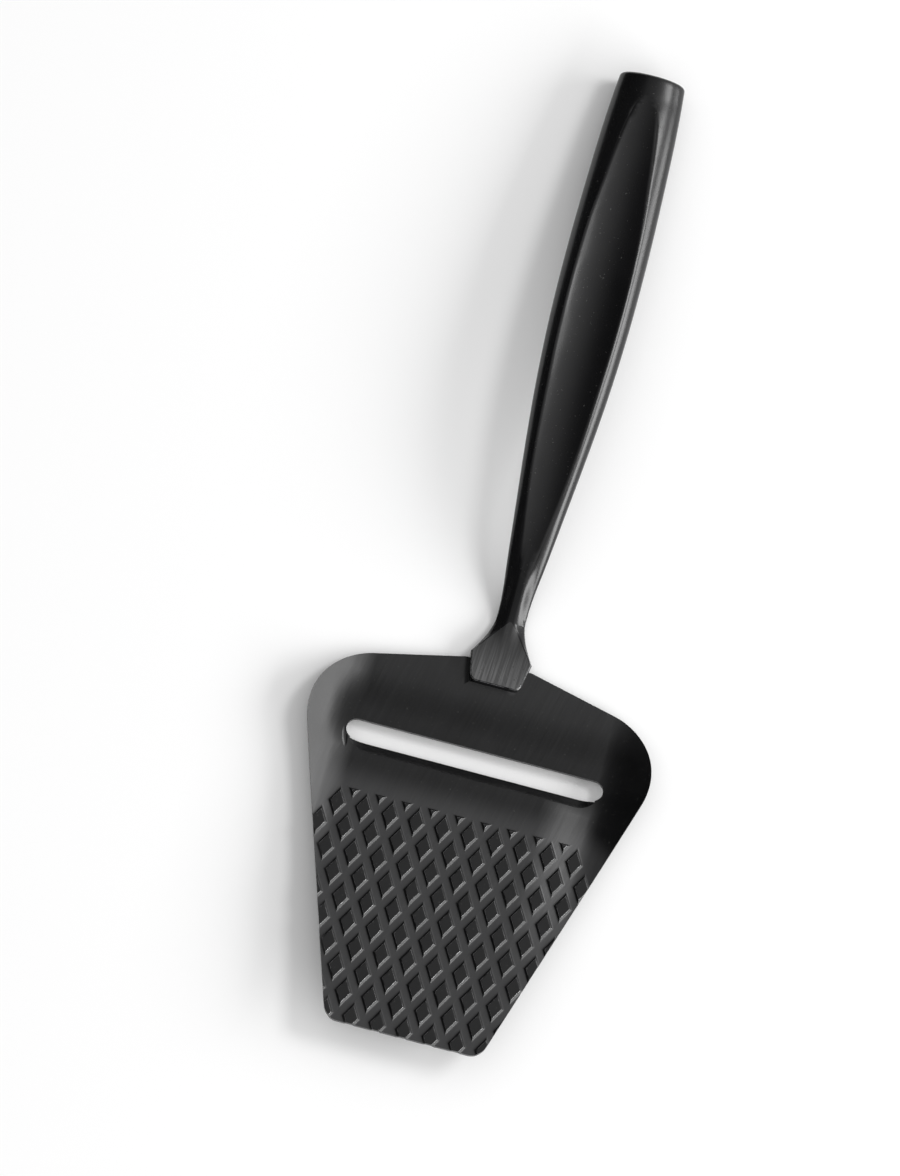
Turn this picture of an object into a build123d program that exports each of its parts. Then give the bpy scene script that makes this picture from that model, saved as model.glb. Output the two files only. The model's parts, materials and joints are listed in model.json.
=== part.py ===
from build123d import *
from math import atan2, cos, degrees, pi, radians, sin, sqrt, tan
import os

os.makedirs("parts", exist_ok=True)

# A plane-type cheese slicer lying on a table, as it comes to rest by itself. It stands on the heel,
# which is the rear edge of its blade, and on the underside of the butt of its handle. The origin is
# on the table, under the middle of the length. +Y runs from the tip to the butt, +Z is up.
# Lengths are in millimetres and angles in degrees.

# Blade: one stamped sheet, wide behind the slot and narrow at the tip
blade_width = 83.4
blade_thickness = 1.2
heel_to_tip = 94.2
heel_width = 16.0
shoulder_slope = 13.2
side_slope = 17.75
shoulder_radius = 15.5
tip_radius = 4.0
flat_width = 66.0
curl_radius = 18.0
curl_angle = 36.0

# Slot, and the lip that is bent down along its front with the cutting edge
heel_to_slot = 21.7
slot_length = 62.8
slot_width = 4.9
lip_width = 2.6
lip_depth = 1.3
lip_straight_length = 52.4
lip_end_length = 4.2
edge_thickness = 0.2
grind_width = 1.3
grind_rise = 0.1
lip_end_shares = (0, 0.3, 0.55, 0.75, 0.9)

# Raised rhombic tiles, which keep the slice from sticking to the front of the blade
heel_to_field = 38.5
field_to_first_row = 4.2
field_width = 69.0
tile_pitch_across = 6.43
tile_pitch_along = 11.1
tile_share = 0.684
tile_height = 0.5
tile_wall_angle = 45.0

# Foot of the handle, flat on the blade
foot_thickness = 2.0
foot_front_width = 12.2
foot_width = 14.9
foot_overlap = 5.8
foot_overhang = 1.4
foot_corner_radius = 2.0
foot_bevel = 0.4

# Handle: its reach is from the heel to the end face of the butt, and its heights are above the sole
handle_reach = 146.8
grip_width = 19.6
grip_height = 16.8
grip_thickness = 10.0
neck_reach = 10.2
ridge_width = 2.0
scoop_radius = 22.0
butt_rounding = 1.0

# Weld nuggets, half in the foot and half in the blade
nugget_diameter = 4.4
nugget_thickness = 1.0
nugget_spacing = 6.6
heel_to_nuggets = 2.6

# How far cutting shapes run past what they cut
overrun = 3.0

# The root of the neck, as shares: how far it is from the foot's shoulder to the ridge, and in foot
# widths half its width, half the width of its flat top and half that of its flat underside
root_shares = (
    (0.00, 0.500, 0.473, 0.488),
    (0.32, 0.389, 0.350, 0.340),
    (0.66, 0.297, 0.208, 0.190),
)
foot_waist_share = 0.45
neck_root_share = 0.182
# The handle from there to the butt, as shares: how far along the reach, half width in grip widths,
# height of the widest line in grip heights, and in grip thicknesses the rise from that line to the
# rim of the scoop and the drop from it to the underside
handle_shares = (
    (0.0954, 0.181, 0.208, 0.125, 0.108),
    (0.1226, 0.198, 0.331, 0.153, 0.132),
    (0.1567, 0.232, 0.491, 0.187, 0.162),
    (0.1907, 0.262, 0.615, 0.216, 0.189),
    (0.2452, 0.306, 0.738, 0.248, 0.222),
    (0.3270, 0.371, 0.842, 0.276, 0.280),
    (0.4360, 0.443, 0.923, 0.304, 0.350),
    (0.5586, 0.491, 0.973, 0.331, 0.408),
    (0.6812, 0.501, 1.004, 0.361, 0.443),
    (0.8174, 0.481, 1.020, 0.401, 0.462),
    (0.9264, 0.449, 1.024, 0.440, 0.465),
    (1.0000, 0.408, 1.024, 0.445, 0.460),
)
# The scoop along the top: how far along the reach, and half its width in grip widths
scoop_shares = (
    (0.1267, 0.051),
    (0.1567, 0.096),
    (0.1907, 0.137),
    (0.2452, 0.196),
    (0.3270, 0.262),
    (0.4360, 0.317),
    (0.5586, 0.357),
    (0.6812, 0.355),
    (0.8174, 0.277),
    (0.8900, 0.215),
    (0.9264, 0.168),
    (0.9510, 0.112),
    (0.9632, 0.042),
)
# How many cross-sections the neck and the grip have, how closely they crowd at both ends, and how
# many steps round the rim of the butt
section_count = 56
crowding_share = 0.75
rim_steps = 4

# Rows that guide the neck and the grip, measured from the heel and up from the sole: how far along,
# half width, height of the widest line, rise and drop, and for the scoop how far and half its width
foot_middle = blade_thickness + foot_waist_share * foot_thickness
foot_rise = (1 - foot_waist_share) * foot_thickness
foot_drop = foot_waist_share * foot_thickness
handle_rows = [(neck_reach, neck_root_share * grip_width, foot_middle, foot_rise, foot_drop)]
for reach, width, height, rise, drop in handle_shares:
    handle_rows.append(
        (
            reach * handle_reach,
            width * grip_width,
            height * grip_height,
            rise * grip_thickness,
            drop * grip_thickness,
        )
    )
scoop_rows = [(reach * handle_reach, width * grip_width) for reach, width in scoop_shares]


def smooth_row(rows, y):
    """Values at y on smooth curves through the rows, each of which starts with its own y."""
    steps = [after[0] - before[0] for before, after in zip(rows, rows[1:])]
    span = max(count for count in range(len(steps)) if count == 0 or rows[count][0] <= y)
    part = (y - rows[span][0]) / steps[span]
    values = []
    for column in range(1, len(rows[0])):
        rates = [
            (after[column] - before[column]) / step
            for before, after, step in zip(rows, rows[1:], steps)
        ]
        slopes = [
            (rates[i - 1] * steps[i] + rates[i] * steps[i - 1]) / (steps[i - 1] + steps[i])
            for i in range(1, len(steps))
        ]
        slopes = [2 * rates[0] - slopes[0], *slopes, 2 * rates[-1] - slopes[-1]]
        straight = rows[span][column] + part * steps[span] * rates[span]
        first_bend = (1 - part) * (slopes[span] - rates[span])
        last_bend = part * (slopes[span + 1] - rates[span])
        values.append(straight + part * (1 - part) * steps[span] * (first_bend - last_bend))
    return values


# Rest: the sheet leans back by the angle at which the heel and the butt both touch the table
rim_start = handle_reach - butt_rounding
butt_half_width, butt_middle, butt_rise, butt_drop = smooth_row(handle_rows, rim_start)
lean = atan2(butt_middle - butt_drop, rim_start)
rear_end = handle_reach * cos(lean) + (butt_middle + butt_rise - butt_rounding) * sin(lean)
front_end = heel_to_tip * cos(lean)
sole = Plane(
    origin=(0, (front_end - rear_end) / 2, 0),
    x_dir=(1, 0, 0),
    z_dir=(0, sin(lean), cos(lean)),
)


def across(y):
    """Upright plane across the slicer at y from the heel, its own y measured up from the sole."""
    return Plane(origin=sole.from_local_coords((0, y, 0)), x_dir=sole.x_dir, z_dir=-sole.y_dir)


def along(x):
    """Upright plane along the slicer at x from its middle, its own x running to the butt."""
    return Plane(origin=sole.from_local_coords((x, 0, 0)), x_dir=sole.y_dir, z_dir=sole.x_dir)


# Weld nuggets: two flat beads of metal on the joint between the foot and the blade
joint_plane = sole.offset(blade_thickness)
nugget_half = nugget_thickness / 2
bead_radius = nugget_diameter / 2

with BuildPart() as weld_nuggets:
    for side in (-1, 1):
        middle = joint_plane.from_local_coords((side * nugget_spacing / 2, -heel_to_nuggets, 0))
        with BuildSketch(Plane(origin=middle, x_dir=sole.x_dir, z_dir=-sole.y_dir)):
            with BuildLine():
                Polyline(
                    (0, nugget_half),
                    (bead_radius - nugget_half, nugget_half),
                    (bead_radius, 0),
                    (bead_radius - nugget_half, -nugget_half),
                    (0, -nugget_half),
                    close=True,
                )
            make_face()
        revolve(axis=Axis(middle, sole.z_dir))

# Blade outline, half of it, from the middle of the heel round the shoulder to the tip
shoulder_angle = radians(shoulder_slope)
side_angle = radians(side_slope)
heel_corner = (heel_width / 2, 0)
bend_x = blade_width / 2 - shoulder_radius
shoulder_x = bend_x + shoulder_radius * sin(shoulder_angle)
shoulder_y = -(shoulder_x - heel_width / 2) * tan(shoulder_angle)
bend_y = shoulder_y - shoulder_radius * cos(shoulder_angle)
side_x = bend_x + shoulder_radius * cos(side_angle)
side_y = bend_y - shoulder_radius * sin(side_angle)
tip_x = side_x - (heel_to_tip + side_y) * tan(side_angle)

# Slot and lip, measured from the heel
slot_middle = -(heel_to_slot + slot_width / 2)
slot_front = -(heel_to_slot + slot_width)

# Tiles: rows half a pitch apart, each moved sideways by half a pitch from the one before
tile_width = tile_share * tile_pitch_across
tile_length = tile_share * tile_pitch_along
row_pitch = tile_pitch_along / 2
first_row = heel_to_field + field_to_first_row
row_count = int((heel_to_tip - first_row + tile_length / 2) // row_pitch) + 1
tile_places = []
for row in range(-1, row_count):
    row_reach = field_width / 2 - tile_width / 2
    shift = tile_pitch_across / 2 if row % 2 == 0 else 0
    if row < 0:
        row_reach -= tile_pitch_across
    half_count = int((row_reach - shift) // tile_pitch_across)
    for column in range(half_count + 1):
        place = shift + column * tile_pitch_across
        tile_places.append((place, -(first_row + row * row_pitch)))
        if place > 0:
            tile_places.append((-place, -(first_row + row * row_pitch)))


def lip_section(end_share):
    """The bent lip cut lengthwise: full in the middle, fading out over its end length."""
    full = 1 - end_share**2
    bend = slot_front - full * lip_width
    edge_top = blade_thickness - full * (blade_thickness + lip_depth - edge_thickness)
    return (
        (bend, 0),
        (bend, blade_thickness),
        (slot_front, edge_top),
        (slot_front, -full * lip_depth),
        (slot_front - full * grind_width, -full * (lip_depth - grind_rise)),
    )


# Outline of the blade, drawn below everything it trims
with BuildSketch(sole.offset(-curl_radius)) as outline:
    with BuildLine():
        Line((0, 0), heel_corner)
        Line(heel_corner, (shoulder_x, shoulder_y))
        CenterArc(
            (bend_x, bend_y),
            shoulder_radius,
            90 - shoulder_slope,
            shoulder_slope - 90 - side_slope,
        )
        Line((side_x, side_y), (tip_x, -heel_to_tip))
        Line((tip_x, -heel_to_tip), (0, -heel_to_tip))
        mirror(about=Plane.YZ)
    make_face()
    tip_corners = outline.vertices().group_by(Axis.Y)[0]
    fillet(tip_corners, radius=tip_radius)

with BuildPart() as tiles:
    # Rhombi with sloping walls, none behind the line where the field starts
    with BuildSketch(joint_plane):
        with Locations(*tile_places):
            Polygon(
                (tile_width / 2, 0),
                (0, tile_length / 2),
                (-tile_width / 2, 0),
                (0, -tile_length / 2),
            )
        with Locations((0, tile_length - heel_to_field)):
            Rectangle(blade_width, 2 * tile_length, mode=Mode.SUBTRACT)
    extrude(amount=tile_height, taper=tile_wall_angle)
    extrude(outline.sketch, amount=2 * curl_radius, mode=Mode.INTERSECT)

with BuildPart() as blade:
    # Sheet with a flat middle and sides that curl up, drawn across and run the whole length
    with BuildSketch(across(overrun)):
        with BuildLine():
            flat_under = Line((0, 0), (flat_width / 2, 0))
            curl_under = JernArc(flat_under @ 1, (1, 0), curl_radius, curl_angle)
            flat_over = Line((0, blade_thickness), (flat_width / 2, blade_thickness))
            curl_over = JernArc(
                flat_over @ 1, (1, 0), curl_radius - blade_thickness, curl_angle
            )
            Line(curl_under @ 1, curl_over @ 1)
            mirror(about=Plane.YZ)
        make_face()
    extrude(amount=heel_to_tip + 2 * overrun)
    extrude(outline.sketch, amount=2 * curl_radius, mode=Mode.INTERSECT)

    # Slot, opened along its front for the lip
    lip_corners = [
        (lip_straight_length / 2 + share * lip_end_length, lip_section(share)[0][0])
        for share in lip_end_shares
    ]
    with BuildSketch(sole.offset(-overrun)):
        with Locations((0, slot_middle)):
            SlotOverall(slot_length, slot_width)
        with BuildLine():
            Polyline(
                (0, lip_corners[0][1]),
                *lip_corners,
                (lip_corners[-1][0], slot_middle),
                (0, slot_middle),
            )
            mirror(about=Plane.YZ)
        make_face()
    extrude(amount=blade_thickness + 2 * overrun, mode=Mode.SUBTRACT)

    # Lip: straight in the middle, faded out at both ends
    with BuildSketch(along(0)):
        with BuildLine():
            Polyline(*lip_section(0), close=True)
        make_face()
    extrude(amount=lip_straight_length / 2, both=True)
    for side in (-1, 1):
        for share in lip_end_shares:
            lip_x = lip_straight_length / 2 + share * lip_end_length
            with BuildSketch(along(side * lip_x)):
                with BuildLine():
                    Polyline(*lip_section(share), close=True)
                make_face()
        loft(ruled=True)

    # Tiles pressed up out of the sheet, each with the hollow that this leaves under it
    add(tiles.part)
    add(tiles.part.moved(Location(sole.z_dir * -blade_thickness)), mode=Mode.SUBTRACT)

    # Seats of the weld nuggets
    add(weld_nuggets.part, mode=Mode.SUBTRACT)


ridge = ridge_width / 2


def scoop_half_width(y):
    """Half the width of the scoop, which narrows to the ridge at both ends."""
    if scoop_rows[0][0] < y < scoop_rows[-1][0]:
        return max(ridge, smooth_row(scoop_rows, y)[0])
    return ridge


def scoop_depth(half_width):
    """How deep a round trough is under its rim, from none where it is as narrow as the ridge."""
    return sqrt(scoop_radius**2 - ridge**2) - sqrt(scoop_radius**2 - half_width**2)


def handle_section(y, half_width, height, rise, drop, half_top, half_under, depth=0):
    """Closed outline across the handle: ellipses above and below its widest line, hollowed or cut
    flat on top and cut flat underneath."""
    top_share = sqrt(1 - (half_top / half_width) ** 2)
    under_share = sqrt(1 - (half_under / half_width) ** 2)
    top_angle = degrees(atan2(top_share, half_top / half_width))
    under_angle = degrees(atan2(under_share, half_under / half_width))
    upper = ((0, height), half_width, rise / top_share)
    lower = ((0, height), half_width, drop / under_share)
    with BuildSketch(across(y)) as section:
        with BuildLine():
            right = EllipticalCenterArc(*upper, 0, arc_size=top_angle)
            left = EllipticalCenterArc(*upper, 180 - top_angle, arc_size=top_angle)
            low_left = EllipticalCenterArc(*lower, 180, arc_size=under_angle)
            low_right = EllipticalCenterArc(*lower, 360 - under_angle, arc_size=under_angle)
            Bezier(right @ 1, (0, height + rise - 2 * depth), left @ 0)
            Line(low_left @ 1, low_right @ 0)
        make_face()
    return section.sketch


with BuildPart() as handle:
    # Foot: a flat pad on the blade, wider at its shoulders, with bevelled edges
    with BuildSketch(joint_plane):
        with BuildLine():
            Polyline(
                (0, -foot_overlap),
                (foot_front_width / 2, -foot_overlap),
                (foot_width / 2, foot_overhang),
                (0, foot_overhang),
            )
            mirror(about=Plane.YZ)
        make_face()
        front_corners = [v for v in vertices() if v.Y < 0 and abs(v.X) > 0]
        fillet(front_corners, radius=foot_corner_radius)
    extrude(amount=foot_thickness)
    pad_top = handle.faces().sort_by(Axis(sole.origin, sole.z_dir))[-1]
    pad_edges = pad_top.edges().sort_by(Axis(sole.origin, sole.y_dir))[:-1]
    chamfer(pad_edges, length=foot_bevel)

    # Root of the neck: the flat top narrows to a ridge
    sections = []
    for reach, width, top, under in root_shares:
        y = foot_overhang + reach * (neck_reach - foot_overhang)
        sizes = (width * foot_width, foot_middle, foot_rise, foot_drop)
        sections.append(handle_section(y, *sizes, top * foot_width, under * foot_width))
    sections.append(handle_section(*handle_rows[0], ridge, ridge))
    loft(sections)

    # Neck and grip: short straight strips between cross-sections, closest where they bend most
    sections = []
    for count in range(section_count + 1):
        part = count / section_count
        crowding = crowding_share * sin(2 * pi * part) / (2 * pi)
        y = neck_reach + (rim_start - neck_reach) * (part - crowding)
        half_top = scoop_half_width(y)
        depth = scoop_depth(half_top)
        sections.append(
            handle_section(y, *smooth_row(handle_rows, y), half_top, ridge, depth)
        )

    # Butt: a flat end with a rounded rim
    for step in range(1, rim_steps + 1):
        turn = pi / 2 * step / rim_steps
        inset = butt_rounding * (1 - cos(turn))
        y = rim_start + butt_rounding * sin(turn)
        sizes = (butt_half_width - inset, butt_middle, butt_rise - inset, butt_drop - inset)
        sections.append(handle_section(y, *sizes, ridge, ridge))
    loft(sections, ruled=True)

    # Seats of the weld nuggets
    add(weld_nuggets.part, mode=Mode.SUBTRACT)

for piece, name in ((blade, "blade"), (handle, "handle"), (weld_nuggets, "weld_nuggets")):
    piece.part.label = name
    export_step(piece.part, f"parts/{name}.step")
    print(name, piece.part.volume, len(piece.part.solids()), piece.part.is_valid)
    print(piece.part.bounding_box())
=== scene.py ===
import math
import json
import bpy
import bmesh
from mathutils import Vector, Matrix


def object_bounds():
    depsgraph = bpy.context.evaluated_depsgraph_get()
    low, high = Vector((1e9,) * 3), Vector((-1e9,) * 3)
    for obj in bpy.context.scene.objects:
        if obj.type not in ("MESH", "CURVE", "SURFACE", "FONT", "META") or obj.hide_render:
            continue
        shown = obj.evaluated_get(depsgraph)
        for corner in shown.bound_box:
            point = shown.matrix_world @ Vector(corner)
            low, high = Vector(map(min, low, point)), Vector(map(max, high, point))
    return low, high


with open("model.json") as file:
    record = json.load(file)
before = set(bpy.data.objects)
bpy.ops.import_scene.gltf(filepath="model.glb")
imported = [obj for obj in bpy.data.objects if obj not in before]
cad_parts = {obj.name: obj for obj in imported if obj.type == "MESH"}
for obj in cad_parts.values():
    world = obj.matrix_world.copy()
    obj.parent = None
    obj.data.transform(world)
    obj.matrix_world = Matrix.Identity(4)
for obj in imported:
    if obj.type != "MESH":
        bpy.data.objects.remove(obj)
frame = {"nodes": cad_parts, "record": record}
cadLow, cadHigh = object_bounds()
scene = bpy.context.scene
nodes = frame["nodes"]
mm = 0.001
print("frame loaded")


# small helpers for node trees: a fixed value is set on the socket, and anything else is linked to it
def feed(tree, socket, value):
    if isinstance(value, (int, float, tuple, Vector)):
        socket.default_value = value
    else:
        tree.links.new(value, socket)


def addNode(tree, kind, **inputs):
    node = tree.nodes.new(kind)
    for name, value in inputs.items():
        feed(tree, node.inputs[name.replace("_", " ")], value)
    return node


def mathNode(tree, operation, first, second=None, clamp=False):
    node = tree.nodes.new("ShaderNodeMath")
    node.operation = operation
    node.use_clamp = clamp
    feed(tree, node.inputs[0], first)
    if second is not None:
        feed(tree, node.inputs[1], second)
    return node.outputs[0]


def multiply(tree, *values):
    product = values[0]
    for value in values[1:]:
        product = mathNode(tree, "MULTIPLY", product, value)
    return product


def addUp(tree, *values):
    total = values[0]
    for value in values[1:]:
        total = mathNode(tree, "ADD", total, value)
    return total


def vectorNode(tree, operation, first, second):
    node = tree.nodes.new("ShaderNodeVectorMath")
    node.operation = operation
    feed(tree, node.inputs[0], first)
    feed(tree, node.inputs[1], second)
    return node.outputs["Value" if operation == "DOT_PRODUCT" else "Vector"]


# the sockets of a Mix node for each kind of data: factor, first and second, then the result
mixSockets = {"FLOAT": ((0, 2, 3), 0), "VECTOR": ((0, 4, 5), 1), "RGBA": ((0, 6, 7), 2)}


def mix(tree, kind, factor, first, second):
    node = tree.nodes.new("ShaderNodeMix")
    node.data_type = kind
    entries, result = mixSockets[kind]
    for entry, value in zip(entries, (factor, first, second)):
        feed(tree, node.inputs[entry], value)
    return node.outputs[result]


# an eased step, 0 at low and 1 at high; low may be the larger of the two
def ramp(tree, value, low, high):
    node = addNode(tree, "ShaderNodeMapRange", Value=value, From_Min=low, From_Max=high)
    node.interpolation_type = "SMOOTHSTEP"
    return node.outputs["Result"]


# 1 on a line and 0 from its width on
def nearLine(tree, distance, width):
    share = mathNode(tree, "DIVIDE", mathNode(tree, "ABSOLUTE", distance), width)
    return mathNode(tree, "SUBTRACT", 1.0, share, clamp=True)


# a rounded crease along a line: full at the line, gone at its width
def crease(tree, distance, width, height):
    return multiply(tree, mathNode(tree, "POWER", nearLine(tree, distance, width), 2.0), height)


# a node group; an input without a value is a vector, and so is the output called Place
def newGroup(name, inputs, outputs):
    group = bpy.data.node_groups.new(name, "ShaderNodeTree")
    for label, value in inputs.items():
        kind = "NodeSocketVector" if value is None else "NodeSocketFloat"
        socket = group.interface.new_socket(name=label, in_out="INPUT", socket_type=kind)
        if value is not None:
            socket.default_value = value
    for label in outputs:
        kind = "NodeSocketVector" if label == "Place" else "NodeSocketFloat"
        group.interface.new_socket(name=label, in_out="OUTPUT", socket_type=kind)
    return group, group.nodes.new("NodeGroupInput").outputs, group.nodes.new("NodeGroupOutput").inputs


def useGroup(tree, group, **inputs):
    node = tree.nodes.new("ShaderNodeGroup")
    node.node_tree = group
    for name, value in inputs.items():
        feed(tree, node.inputs[name.replace("_", " ")], value)
    return node.outputs


# the sheet's sole leans by a few degrees: its place and directions come from the mount
soleMount = frame["record"]["mounts"][0]
soleUp = -Vector(soleMount["axis"]).normalized()
soleAlong = Vector((0, soleUp.z, -soleUp.y))
heelToMount = 13.0 * mm
heelPlace = Vector(soleMount["pos_m"]) + soleAlong * heelToMount

# what the finishes share: bare steel where an edge is rubbed in patches, and dust on what faces up
sharedFinish = {
    "steel": (0.56, 0.56, 0.57, 1),
    "wornPatches": (0.36, 0.62),
    "dustColour": (0.030, 0.030, 0.028, 1),
    "dustRoughness": 0.6,
    "dustSharpness": 12.0,
    "dustFacing": (0.6, 0.95),
}


# where a point lies on the slicer, in millimetres: across it, along it from the heel, above the sole
def buildSlicerPlace():
    directions = {"Across": Vector((1, 0, 0)), "Along": soleAlong, "Above": soleUp}
    group, _, leave = newGroup("slicerPlace", {}, (*directions, "Place"))
    where = group.nodes.new("ShaderNodeTexCoord")
    fromHeel = vectorNode(group, "SUBTRACT", where.outputs["Object"], heelPlace)
    joined = group.nodes.new("ShaderNodeCombineXYZ")
    for socket, (label, direction) in zip(joined.inputs, directions.items()):
        part = vectorNode(group, "DOT_PRODUCT", fromHeel, direction / mm)
        feed(group, leave[label], part)
        feed(group, socket, part)
    feed(group, leave["Place"], joined.outputs["Vector"])
    return group


# fine grain of a baked coating: a tight pebble and slow mottling
def buildCoatingGrain():
    group, entry, leave = newGroup(
        "coatingGrain", {"Place": None, "Pebble Scale": 5.0, "Mottle Scale": 0.09}, ("Pebble", "Mottle"))
    pebble = addNode(group, "ShaderNodeTexNoise", Vector=entry["Place"], Scale=entry["Pebble Scale"],
                     Detail=2.0, Roughness=0.55)
    mottle = addNode(group, "ShaderNodeTexNoise", Vector=entry["Place"], Scale=entry["Mottle Scale"],
                     Detail=4.0, Roughness=0.6)
    feed(group, leave["Pebble"], pebble.outputs["Fac"])
    feed(group, leave["Mottle"], mottle.outputs["Fac"])
    return group


# brushed lines: noise drawn out along the slicer, turned by an angle
def buildBrushedLines():
    group, entry, leave = newGroup(
        "brushedLines", {"Place": None, "Line Scale": 3.0, "Stretch": 0.06, "Turn": 0.0}, ("Lines",))
    turned = group.nodes.new("ShaderNodeVectorRotate")
    turned.rotation_type = "Z_AXIS"
    feed(group, turned.inputs["Vector"], entry["Place"])
    feed(group, turned.inputs["Angle"], entry["Turn"])
    shape = addNode(group, "ShaderNodeCombineXYZ", X=1.0, Y=entry["Stretch"], Z=1.0)
    drawnOut = vectorNode(group, "MULTIPLY", turned.outputs["Vector"], shape.outputs["Vector"])
    lines = addNode(group, "ShaderNodeTexNoise", Vector=drawnOut, Scale=entry["Line Scale"],
                    Detail=3.0, Roughness=0.65)
    feed(group, leave["Lines"], lines.outputs["Fac"])
    return group


# edge wear: a band along a line, broken up by noise, where the coating is rubbed off
def buildRubbedEdge(settings):
    group, entry, leave = newGroup(
        "rubbedEdge", {"Place": None, "Distance": 0.0, "Width": 0.3, "Patch Scale": 0.5}, ("Wear",))
    noise = addNode(group, "ShaderNodeTexNoise", Vector=entry["Place"], Scale=entry["Patch Scale"],
                    Detail=3.0, Roughness=0.6)
    patches = ramp(group, noise.outputs["Fac"], *settings["wornPatches"])
    band = nearLine(group, entry["Distance"], entry["Width"])
    feed(group, leave["Wear"], multiply(group, band, patches))
    return group


# dust: fine pale specks on what faces up
def buildDust(settings):
    group, entry, leave = newGroup("dust", {"Place": None, "Speck Scale": 1.7, "Least": 0.72}, ("Dust",))
    specks = addNode(group, "ShaderNodeTexNoise", Vector=entry["Place"], Scale=entry["Speck Scale"],
                     Detail=1.0, Roughness=0.4)
    surface = group.nodes.new("ShaderNodeNewGeometry")
    split = addNode(group, "ShaderNodeSeparateXYZ", Vector=surface.outputs["Normal"])
    past = mathNode(group, "SUBTRACT", specks.outputs["Fac"], entry["Least"])
    much = mathNode(group, "MULTIPLY", past, settings["dustSharpness"], clamp=True)
    facing = ramp(group, split.outputs["Z"], *settings["dustFacing"])
    feed(group, leave["Dust"], multiply(group, much, facing))
    return group


slicerPlace = buildSlicerPlace()
coatingGrain = buildCoatingGrain()
brushedLines = buildBrushedLines()
rubbedEdge = buildRubbedEdge(sharedFinish)
dust = buildDust(sharedFinish)


# a Principled material; makeParts gives its colour, roughness, wear and relief, and may give a normal
def finishMaterial(name, makeParts, specular=0.5):
    material = bpy.data.materials.new(name)
    material.use_nodes = True
    tree = material.node_tree
    shader = tree.nodes["Principled BSDF"]
    shader.inputs["Specular IOR Level"].default_value = specular
    where = useGroup(tree, slicerPlace)
    parts = makeParts(tree, where)
    dusty = useGroup(tree, dust, Place=where["Place"])["Dust"]
    colour = mix(tree, "RGBA", parts["wear"], parts["colour"], sharedFinish["steel"])
    colour = mix(tree, "RGBA", dusty, colour, sharedFinish["dustColour"])
    roughness = mix(tree, "FLOAT", dusty, parts["roughness"], sharedFinish["dustRoughness"])
    relief = addNode(tree, "ShaderNodeBump", Distance=mm, Height=parts["relief"])
    if "normal" in parts:
        feed(tree, relief.inputs["Normal"], parts["normal"])
    feed(tree, shader.inputs["Base Color"], colour)
    feed(tree, shader.inputs["Roughness"], roughness)
    feed(tree, shader.inputs["Metallic"], parts["wear"])
    feed(tree, shader.inputs["Normal"], relief.outputs["Normal"])
    return material


# satin black sheet, in millimetres; a place along it is counted from the heel and is less than 0 in front
bladeLooks = {
    "dark": (0.0015, 0.0015, 0.0018, 1),
    "pale": (0.0055, 0.0055, 0.006, 1),
    # painted sheen: a paler colour painted on the sheet towards the front and at the heel in place of light
    # on it; the entries below place it and add roughness there
    "paintedSheen": (0.030, 0.030, 0.031, 1),
    "specular": 0.62,
    "paintedSheenFrom": (-31.5, -39.0),
    "paintedSheenSlant": 0.5,
    "slantFrom": 29.5,
    "heelPaintedSheen": 0.35,
    "heelFrom": (-17.0, -3.0),
    "roughness": 0.29,
    "roughnessSwing": 0.10,
    "paintedSheenRoughness": 0.04,
    "wallRoughness": 0.12,
    "leftRoughness": 0.08,
    "leftFrom": (-28.0, -36.0),
    "grainDepth": 0.004,
    "rimWidth": 0.20,
    "rimDepth": 0.012,
    "rimWear": 0.025,
    "toeWidth": 0.34,
    "toeDepth": 0.025,
    # the raised tiles, as part.py sets them out forwards from the heel, and how far from the edge of a top
    # its wall and the sheet between the tiles begin
    "tiles": {
        "pitchAcross": 6.43,
        "pitchAlong": 11.1,
        "share": 0.684,
        "height": 0.5,
        "fieldStart": 38.5,
        "firstRow": 42.7,
        "reachAcross": 32.3,
        "wall": (0.0, 0.1),
        "between": (0.38, 0.52),
    },
    # slow unevenness left by the press: each wave climbs across the sheet, between two fades along it
    "pressWaves": [
        {"across": (-28.5, -40.0), "fadeIn": (9.0, 4.0), "fadeOut": (-82.0, -40.0), "height": 1.9},
        {"across": (18.0, 32.5), "fadeIn": (-22.0, -31.0), "fadeOut": (-82.0, -42.0), "height": -2.0},
        {"across": (-37.5, -28.5), "fadeIn": (-9.0, -19.0), "fadeOut": (-29.0, -22.0), "height": 1.3},
        {"across": (29.5, 40.0), "fadeIn": (4.0, -14.0), "fadeOut": (-66.0, -34.0), "height": 1.7},
    ],
    # smears of the rolled sheet
    "smears": {"lineScale": 0.30, "stretch": 0.10, "turn": math.radians(14), "height": 0.05},
    # the small fold beside the slot, where the lip's bend ends
    "lipFold": {"middle": (-31.2, -26.6), "reach": (0.7, 2.6), "slant": 0.26, "depth": 0.14},
    # the coating that pools where the foot's front and left side meet the sheet
    "footSeam": {
        "front": -5.8,
        "halfWidth": 6.1,
        "widening": 0.19,
        "reach": 1.2,
        "rise": 0.34,
        "rightEnd": (5.6, 3.0),
    },
}


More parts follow.
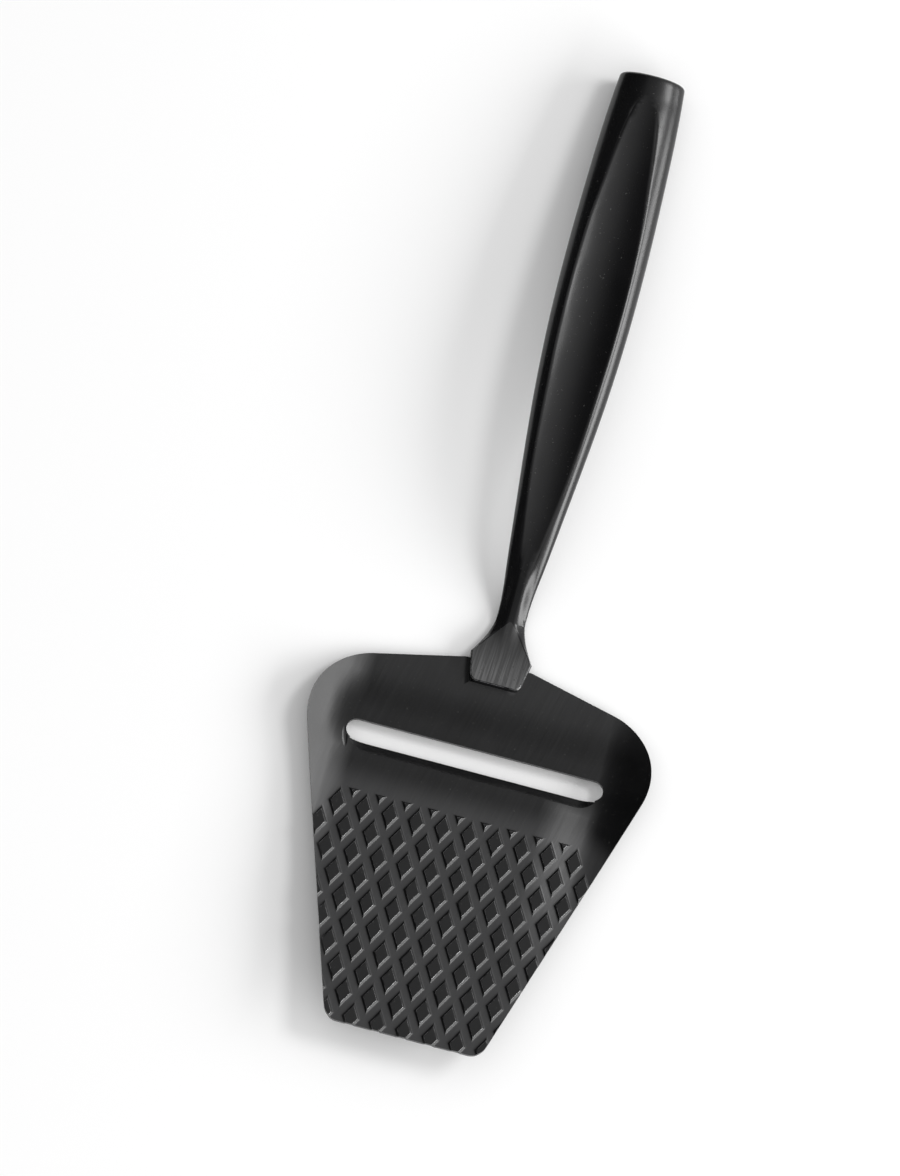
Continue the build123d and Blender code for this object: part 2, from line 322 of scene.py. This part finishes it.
# distance from the edge of a tile's top in millimetres, less than 0 on the top
def buildTilePattern(settings):
    group, entry, leave = newGroup("tilePattern", {"Across": 0.0, "Along": 0.0}, ("Edge",))
    pitchAcross, pitchAlong = settings["pitchAcross"], settings["pitchAlong"]
    # from one slanted row of tiles to the next, and half a tile's top as a share of that
    perUnit = pitchAcross * pitchAlong / math.hypot(pitchAcross, pitchAlong)
    topShare = settings["share"] / 2 - settings["height"] / perUnit
    across, along = entry["Across"], entry["Along"]
    column = mathNode(group, "DIVIDE", across, pitchAcross)
    row = mathNode(group, "DIVIDE", mathNode(group, "SUBTRACT", -settings["firstRow"], along), pitchAlong)
    halves = []
    for operation in ("ADD", "SUBTRACT"):
        slant = mathNode(group, operation, column, row)
        halves.append(mathNode(group, "SUBTRACT", mathNode(group, "FRACT", slant), 0.5))
    far = mathNode(group, "MAXIMUM", *[mathNode(group, "ABSOLUTE", half) for half in halves])
    edge = multiply(group, mathNode(group, "SUBTRACT", far, topShare), perUnit)
    # the middle of the tile that a point is on, to leave out the tiles outside the field; rows stand half a
    # pitch apart, so a quarter and three quarters lie between two of them
    sideways = multiply(group, addUp(group, *halves), pitchAcross / 2)
    middleAcross = mathNode(group, "ABSOLUTE", mathNode(group, "SUBTRACT", across, sideways))
    backwards = multiply(group, mathNode(group, "SUBTRACT", *halves), 0.5)
    middleRow = mathNode(group, "SUBTRACT", row, backwards)
    firstCut = multiply(group, mathNode(group, "LESS_THAN", middleRow, -0.25), pitchAcross)
    reach = mathNode(group, "SUBTRACT", settings["reachAcross"], firstCut)
    tooWide = mathNode(group, "GREATER_THAN", middleAcross, reach)
    absent = mathNode(group, "MAXIMUM", tooWide, mathNode(group, "LESS_THAN", middleRow, -0.75))
    cut = addUp(group, along, settings["fieldStart"] + settings["height"])
    edge = mathNode(group, "MAXIMUM", edge, cut)
    feed(group, leave["Edge"], addUp(group, edge, multiply(group, absent, pitchAlong)))
    return group


tilePattern = buildTilePattern(bladeLooks["tiles"])


def pressRelief(tree, across, along, pressWaves):
    waves = []
    for wave in pressWaves:
        fades = ramp(tree, along, *wave["fadeIn"]), ramp(tree, along, *wave["fadeOut"])
        waves.append(multiply(tree, ramp(tree, across, *wave["across"]), *fades, wave["height"]))
    return addUp(tree, *waves)


def smearRelief(tree, place, settings):
    rolled = useGroup(tree, brushedLines, Place=place, Line_Scale=settings["lineScale"],
                      Stretch=settings["stretch"], Turn=settings["turn"])
    return multiply(tree, rolled["Lines"], settings["height"])


def foldRelief(tree, across, along, settings):
    down = mathNode(tree, "SUBTRACT", along, settings["middle"][1])
    beside = mathNode(tree, "SUBTRACT", across, settings["middle"][0])
    beside = addUp(tree, beside, multiply(tree, down, settings["slant"]))
    squares = []
    for offset, reach in zip((beside, down), settings["reach"]):
        share = mathNode(tree, "DIVIDE", offset, reach)
        squares.append(multiply(tree, share, share))
    return multiply(tree, ramp(tree, addUp(tree, *squares), 1.0, 0.0), -settings["depth"])


def seamRelief(tree, across, along, settings):
    behindFront = mathNode(tree, "SUBTRACT", along, settings["front"])
    halfWidth = addUp(tree, multiply(tree, behindFront, settings["widening"]), settings["halfWidth"])
    fromSide = mathNode(tree, "SUBTRACT", multiply(tree, across, -1.0), halfWidth)
    fromFoot = mathNode(tree, "MAXIMUM", fromSide, multiply(tree, behindFront, -1.0))
    pool = crease(tree, fromFoot, settings["reach"], settings["rise"])
    return multiply(tree, pool, ramp(tree, across, *settings["rightEnd"]))


def bladeParts(tree, where):
    looks, tiles = bladeLooks, bladeLooks["tiles"]
    place, across, along = where["Place"], where["Across"], where["Along"]
    grain = useGroup(tree, coatingGrain, Place=place)
    edge = useGroup(tree, tilePattern, Across=across, Along=along)["Edge"]
    between = ramp(tree, edge, *tiles["between"])
    wall = mathNode(tree, "SUBTRACT", ramp(tree, edge, *tiles["wall"]), between)
    wear = useGroup(tree, rubbedEdge, Place=place, Distance=edge, Width=looks["rimWear"])["Wear"]

    # painted sheen: the sheet between the tiles towards the front, and the heel, are painted paler and made
    # a little rougher, standing in for light falling on them
    outer = mathNode(tree, "MAXIMUM", mathNode(tree, "SUBTRACT", across, looks["slantFrom"]), 0.0)
    slanted = addUp(tree, along, multiply(tree, outer, looks["paintedSheenSlant"]))
    front = multiply(tree, ramp(tree, slanted, *looks["paintedSheenFrom"]), between)
    heel = multiply(tree, ramp(tree, along, *looks["heelFrom"]), looks["heelPaintedSheen"])
    paintedSheen = mathNode(tree, "MAXIMUM", front, heel)
    colour = mix(tree, "RGBA", grain["Mottle"], looks["dark"], looks["pale"])
    colour = mix(tree, "RGBA", paintedSheen, colour, looks["paintedSheen"])
    roughness = addUp(
        tree, multiply(tree, grain["Mottle"], looks["roughnessSwing"]), looks["roughness"],
        multiply(tree, paintedSheen, looks["paintedSheenRoughness"]), multiply(tree, wall, looks["wallRoughness"]),
        multiply(tree, ramp(tree, across, *looks["leftFrom"]), looks["leftRoughness"]))

    fromToe = mathNode(tree, "SUBTRACT", edge, tiles["height"])
    relief = addUp(
        tree, multiply(tree, grain["Pebble"], looks["grainDepth"]),
        crease(tree, edge, looks["rimWidth"], -looks["rimDepth"]),
        crease(tree, fromToe, looks["toeWidth"], looks["toeDepth"]))
    # the sheet between the tiles is uneven, and the tiles themselves are pressed flat
    unevenness = addUp(
        tree, pressRelief(tree, across, along, looks["pressWaves"]),
        smearRelief(tree, place, looks["smears"]),
        foldRelief(tree, across, along, looks["lipFold"]),
        seamRelief(tree, across, along, looks["footSeam"]))
    uneven = addNode(tree, "ShaderNodeBump", Distance=mm, Height=unevenness)
    surface = tree.nodes.new("ShaderNodeNewGeometry")
    normal = mix(tree, "VECTOR", between, surface.outputs["Normal"], uneven.outputs["Normal"])
    return {"colour": colour, "roughness": roughness, "wear": wear, "relief": relief, "normal": normal}


# glossier black handle with the flat top of its foot brushed; millimetres from the heel and over the sole
handleLooks = {
    "dark": (0.0035, 0.0035, 0.004, 1),
    "pale": (0.007, 0.007, 0.0075, 1),
    "roughness": 0.20,
    "roughnessSwing": 0.08,
    "grainDepth": 0.003,
    # the foot's flat, which narrows towards the neck
    "flatFrom": 1.2,
    "flatEnd": (10.8, 10.0),
    "flatHalfWidth": 7.2,
    "flatNarrowing": 0.755,
    "flatFade": (0.1, -0.1),
    "flatAbove": (3.12, 3.17),
    "flatBelow": (3.28, 3.23),
    "brushedDark": (0.016, 0.016, 0.0165, 1),
    "brushedPale": (0.105, 0.105, 0.106, 1),
    "brushedRoughness": 0.16,
    "brushedDepth": 0.02,
    # the brushed strokes and the scratches across them
    "strokes": {
        "lineScale": 2.3, "stretch": 0.03, "turn": math.radians(3), "shown": (0.40, 0.66), "share": 1.0,
    },
    "scratches": {
        "lineScale": 2.0, "stretch": 0.10, "turn": math.radians(-40), "shown": (0.55, 0.70), "share": 0.5,
    },
    "strokeLeast": 0.35,
    "strokeSwing": 0.5,
    "strokeFade": (8.0, -5.0),
    "strokeStrength": (0.12, 1.15),
    # the bevels along the foot's sides and the neck's flanks, which roll over more softly than the solid
    "bevelHalfWidth": 7.21,
    "bevelNarrowing": 0.385,
    "bevelRise": 0.9,
    "bevelStart": (1.5, 3.5),
    "bevelEnd": (12.0, 9.8),
    "neckMiddle": 15.0,
    "neckHalfLength": 13.0,
    "neckAcross": (0.6, 3.2),
    "neckDrop": 0.8,
    # the rubbed edge round the foot's top
    "wearAbove": 3.0,
    "wearWidth": 0.05,
    "wearEnd": (6.0, 5.0),
    # the scoop's rounded rim
    "rimWidth": 0.7,
    "rimDepth": 0.12,
    # half the width of the scoop along the handle, as part.py has it, and where its rim fades
    "scoop": {
        "length": 150.0,
        "width": 10.0,
        "ridge": 1.0,
        "rows": [
            (18.6, 1.0), (23.0, 1.88), (28.0, 2.69), (36.0, 3.84), (48.0, 5.14), (64.0, 6.21), (82.0, 7.0),
            (100.0, 6.96), (120.0, 5.43), (130.7, 4.21), (136.0, 3.29), (139.6, 2.20), (141.4, 0.9),
        ],
        "fadeIn": (18.6, 32.6),
        "fadeOut": (141.4, 131.4),
        "facing": (0.0, 0.2),
    },
}


# how far a point on top of the handle is outside the scoop's rim, and where there is a rim
def buildScoopRim(settings):
    group, entry, leave = newGroup("scoopRim", {"Across": 0.0, "Along": 0.0}, ("Distance", "Present"))
    across, along = entry["Across"], entry["Along"]
    outline = group.nodes.new("ShaderNodeFloatCurve")
    points = outline.mapping.curves[0].points
    rows = [(reach / settings["length"], half / settings["width"]) for reach, half in settings["rows"]]
    points[0].location = (0.0, rows[0][1])
    points[1].location = (1.0, rows[-1][1])
    for row in rows:
        points.new(*row)
    outline.mapping.update()
    feed(group, outline.inputs["Value"], mathNode(group, "DIVIDE", along, settings["length"]))
    half = multiply(group, outline.outputs["Value"], settings["width"])
    half = mathNode(group, "MAXIMUM", half, settings["ridge"])
    feed(group, leave["Distance"], mathNode(group, "SUBTRACT", mathNode(group, "ABSOLUTE", across), half))
    surface = group.nodes.new("ShaderNodeNewGeometry")
    split = addNode(group, "ShaderNodeSeparateXYZ", Vector=surface.outputs["Normal"])
    present = multiply(
        group, ramp(group, along, *settings["fadeIn"]), ramp(group, along, *settings["fadeOut"]),
        ramp(group, split.outputs["Z"], *settings["facing"]))
    feed(group, leave["Present"], present)
    return group


scoopRim = buildScoopRim(handleLooks["scoop"])


# where the foot's brushed flat is
def footFlat(tree, across, along, above):
    looks = handleLooks
    narrowing = multiply(tree, mathNode(tree, "SUBTRACT", along, looks["flatFrom"]), looks["flatNarrowing"])
    half = mathNode(tree, "SUBTRACT", looks["flatHalfWidth"], narrowing)
    past = mathNode(tree, "SUBTRACT", mathNode(tree, "ABSOLUTE", across), half)
    level = multiply(tree, ramp(tree, above, *looks["flatAbove"]), ramp(tree, above, *looks["flatBelow"]))
    return multiply(tree, ramp(tree, along, *looks["flatEnd"]), level, ramp(tree, past, *looks["flatFade"]))


# how pale the brushing is: strokes and scratches, fading towards the neck
def brushStrokes(tree, place, along):
    looks = handleLooks
    shown = []
    for lines in (looks["strokes"], looks["scratches"]):
        drawn = useGroup(tree, brushedLines, Place=place, Line_Scale=lines["lineScale"],
                         Stretch=lines["stretch"], Turn=lines["turn"])["Lines"]
        shown.append(multiply(tree, ramp(tree, drawn, *lines["shown"]), lines["share"]))
    both = multiply(tree, mathNode(tree, "MAXIMUM", *shown), looks["strokeSwing"])
    fade = mix(tree, "FLOAT", ramp(tree, along, *looks["strokeFade"]), *looks["strokeStrength"])
    return mathNode(tree, "MULTIPLY", addUp(tree, both, looks["strokeLeast"]), fade, clamp=True)


# relief that rolls over the foot's side bevels and the neck's flanks
def flankRelief(tree, across, along):
    looks = handleLooks
    aside = mathNode(tree, "ABSOLUTE", across)
    onBevel = addUp(tree, aside, multiply(tree, along, looks["bevelNarrowing"]))
    onBevel = mathNode(tree, "MAXIMUM", mathNode(tree, "SUBTRACT", onBevel, looks["bevelHalfWidth"]), 0.0)
    bevel = multiply(tree, onBevel, ramp(tree, along, *looks["bevelStart"]), looks["bevelRise"],
                     ramp(tree, along, *looks["bevelEnd"]))
    fromNeck = mathNode(tree, "ABSOLUTE", mathNode(tree, "SUBTRACT", along, looks["neckMiddle"]))
    neck = multiply(tree, ramp(tree, aside, *looks["neckAcross"]),
                    ramp(tree, fromNeck, looks["neckHalfLength"], 0.0), -looks["neckDrop"])
    return addUp(tree, bevel, neck)


def handleParts(tree, where):
    looks = handleLooks
    place, across, along, above = where["Place"], where["Across"], where["Along"], where["Above"]
    grain = useGroup(tree, coatingGrain, Place=place)
    brushed = footFlat(tree, across, along, above)
    strokes = brushStrokes(tree, place, along)
    colour = mix(tree, "RGBA", grain["Mottle"], looks["dark"], looks["pale"])
    brushedColour = mix(tree, "RGBA", strokes, looks["brushedDark"], looks["brushedPale"])
    colour = mix(tree, "RGBA", brushed, colour, brushedColour)
    roughness = addUp(
        tree, multiply(tree, grain["Mottle"], looks["roughnessSwing"]), looks["roughness"],
        multiply(tree, brushed, looks["brushedRoughness"]))
    fromEdge = mathNode(tree, "SUBTRACT", above, looks["wearAbove"])
    wear = useGroup(tree, rubbedEdge, Place=place, Distance=fromEdge, Width=looks["wearWidth"])["Wear"]
    wear = multiply(tree, wear, ramp(tree, along, *looks["wearEnd"]))
    rim = useGroup(tree, scoopRim, Across=across, Along=along)
    rounding = crease(tree, rim["Distance"], looks["rimWidth"], -looks["rimDepth"])
    relief = addUp(
        tree, multiply(tree, grain["Pebble"], looks["grainDepth"]), multiply(tree, rounding, rim["Present"]),
        flankRelief(tree, across, along), multiply(tree, strokes, brushed, looks["brushedDepth"]))
    return {"colour": colour, "roughness": roughness, "wear": wear, "relief": relief}


# bare welded steel with its heat tint
weldLooks = {
    "steel": (0.34, 0.33, 0.31, 1),
    "tint": (0.20, 0.17, 0.15, 1),
    "tintScale": 0.6,
    "roughness": 0.42,
    "roughnessSwing": 0.2,
    "bare": (0.2, 0.4),
    "grainDepth": 0.01,
}


def weldParts(tree, where):
    looks = weldLooks
    grain = useGroup(tree, coatingGrain, Place=where["Place"], Mottle_Scale=looks["tintScale"])
    mottle = grain["Mottle"]
    return {
        "colour": mix(tree, "RGBA", mottle, looks["steel"], looks["tint"]),
        "roughness": addUp(tree, multiply(tree, mottle, looks["roughnessSwing"]), looks["roughness"]),
        "wear": ramp(tree, mottle, *looks["bare"]),
        "relief": multiply(tree, grain["Pebble"], looks["grainDepth"]),
    }


def dress(node, material):
    node.data.materials.clear()
    node.data.materials.append(material)


dress(nodes["blade"], finishMaterial("bladeCoating", bladeParts, specular=bladeLooks["specular"]))
dress(nodes["handle"], finishMaterial("handleCoating", handleParts))
dress(nodes["weld_nuggets"], finishMaterial("weldMetal", weldParts))

# the surfaces are shaded round up to this angle and stay crisp past it
shading = {
    "mergeWithin": 0.002 * mm,
    "bladeAngle": math.radians(24),
    "handleAngle": math.radians(19),
    "weight": 50,
}


def shadeRound(node, angle, settings):
    weld = node.modifiers.new("joinEdges", "WELD")
    weld.merge_threshold = settings["mergeWithin"]
    split = node.modifiers.new("keepCrisp", "EDGE_SPLIT")
    split.split_angle = angle
    split.use_edge_sharp = False
    even = node.modifiers.new("evenNormals", "WEIGHTED_NORMAL")
    even.mode = "FACE_AREA_WITH_ANGLE"
    even.weight = settings["weight"]


shadeRound(nodes["blade"], shading["bladeAngle"], shading)
shadeRound(nodes["handle"], shading["handleAngle"], shading)
print("materials made")

# plain pale paper under the slicer
floorLooks = {"reach": 6.0, "colour": (0.92, 0.92, 0.92, 1), "roughness": 0.9, "gap": 0.05 * mm}


def makeFloor(settings):
    mesh = bpy.data.meshes.new("floor")
    shape = bmesh.new()
    bmesh.ops.create_grid(shape, x_segments=1, y_segments=1, size=settings["reach"])
    shape.to_mesh(mesh)
    shape.free()
    floor = bpy.data.objects.new("floor", mesh)
    scene.collection.objects.link(floor)
    floor.location.z = cadLow.z - settings["gap"]
    material = bpy.data.materials.new("floorPaper")
    material.use_nodes = True
    shader = material.node_tree.nodes["Principled BSDF"]
    shader.inputs["Base Color"].default_value = settings["colour"]
    shader.inputs["Roughness"].default_value = settings["roughness"]
    shader.inputs["Specular IOR Level"].default_value = 0.0
    mesh.materials.append(material)


makeFloor(floorLooks)
print("floor laid")

# a large soft lamp low on the right, and a smaller one above it that the curled side mirrors
lamps = {
    "rightSoftbox": {"place": (2.4, -0.35, 0.90), "size": (3.4, 0.9), "power": 77.0},
    "upperSoftbox": {"place": (1.47, 0.83, 1.70), "size": (0.9, 0.6), "power": 17.0},
}


def makeLamp(name, settings):
    data = bpy.data.lights.new(name, "AREA")
    data.shape = "RECTANGLE"
    data.size, data.size_y = settings["size"]
    data.energy = settings["power"]
    lamp = bpy.data.objects.new(name, data)
    scene.collection.objects.link(lamp)
    lamp.location = settings["place"]
    lamp.rotation_euler = (-Vector(settings["place"])).to_track_quat("-Z", "Y").to_euler()


for name, settings in lamps.items():
    makeLamp(name, settings)

# the studio round the slicer: white to the camera; reflections see it white low on the right and dark
# overhead, behind and on the left; a soft even fill for everything else
studio = {
    "fill": 0.60,
    "towards": Vector((1.0, 0.0, 0.40)),
    "darkToBright": (0.0, 1.0),
    "darkest": 0.005,
    "brightest": 1.0,
}


def makeStudio(settings):
    world = bpy.data.worlds.new("studio")
    scene.world = world
    world.use_nodes = True
    tree = world.node_tree
    background = tree.nodes["Background"]
    where = tree.nodes.new("ShaderNodeTexCoord")
    key = vectorNode(tree, "DOT_PRODUCT", where.outputs["Generated"], settings["towards"])
    lit = ramp(tree, key, *settings["darkToBright"])
    side = mix(tree, "FLOAT", lit, settings["darkest"], settings["brightest"])
    rays = tree.nodes.new("ShaderNodeLightPath").outputs
    shown = mathNode(tree, "MAXIMUM", rays["Is Camera Ray"], rays["Is Transmission Ray"])
    level = mix(tree, "FLOAT", rays["Is Glossy Ray"], settings["fill"], side)
    feed(tree, background.inputs["Strength"], mix(tree, "FLOAT", shown, level, 1.0))
    background.inputs["Color"].default_value = (1, 1, 1, 1)


makeStudio(studio)
print("lamps and studio set")

# camera on the photograph's line of sight, fitted to the outline of the slicer in it
view = {
    "frame": (900, 1176),
    "tilt": math.radians(12.0),
    "side": math.radians(-0.469),
    "roll": math.radians(14.707),
    "distance": 2.2,
    "pixelsPerMetre": 4192.5,
    "centre": (527.37, 558.62),
}


def makeCamera(settings):
    width, height = settings["frame"]
    tilt, side, roll = settings["tilt"], settings["side"], settings["roll"]
    away = Vector((math.sin(side), -math.sin(tilt) * math.cos(side), math.cos(tilt) * math.cos(side)))
    plainUp = (Vector((0, 1, 0)) - away * away.y).normalized()
    plainRight = plainUp.cross(away)
    up = plainUp * math.cos(roll) - plainRight * math.sin(roll)
    right = plainRight * math.cos(roll) + plainUp * math.sin(roll)
    data = bpy.data.cameras.new("camera")
    data.sensor_fit = "VERTICAL"
    data.lens = settings["pixelsPerMetre"] * settings["distance"] / height * data.sensor_height
    data.shift_x = (width / 2 - settings["centre"][0]) / height
    data.shift_y = (settings["centre"][1] - height / 2) / height
    camera = bpy.data.objects.new("camera", data)
    scene.collection.objects.link(camera)
    turn = Matrix((right, up, away)).transposed().to_4x4()
    camera.matrix_world = Matrix.Translation(away * settings["distance"]) @ turn
    scene.camera = camera


makeCamera(view)
scene.view_settings.view_transform = "Standard"
print("camera set")
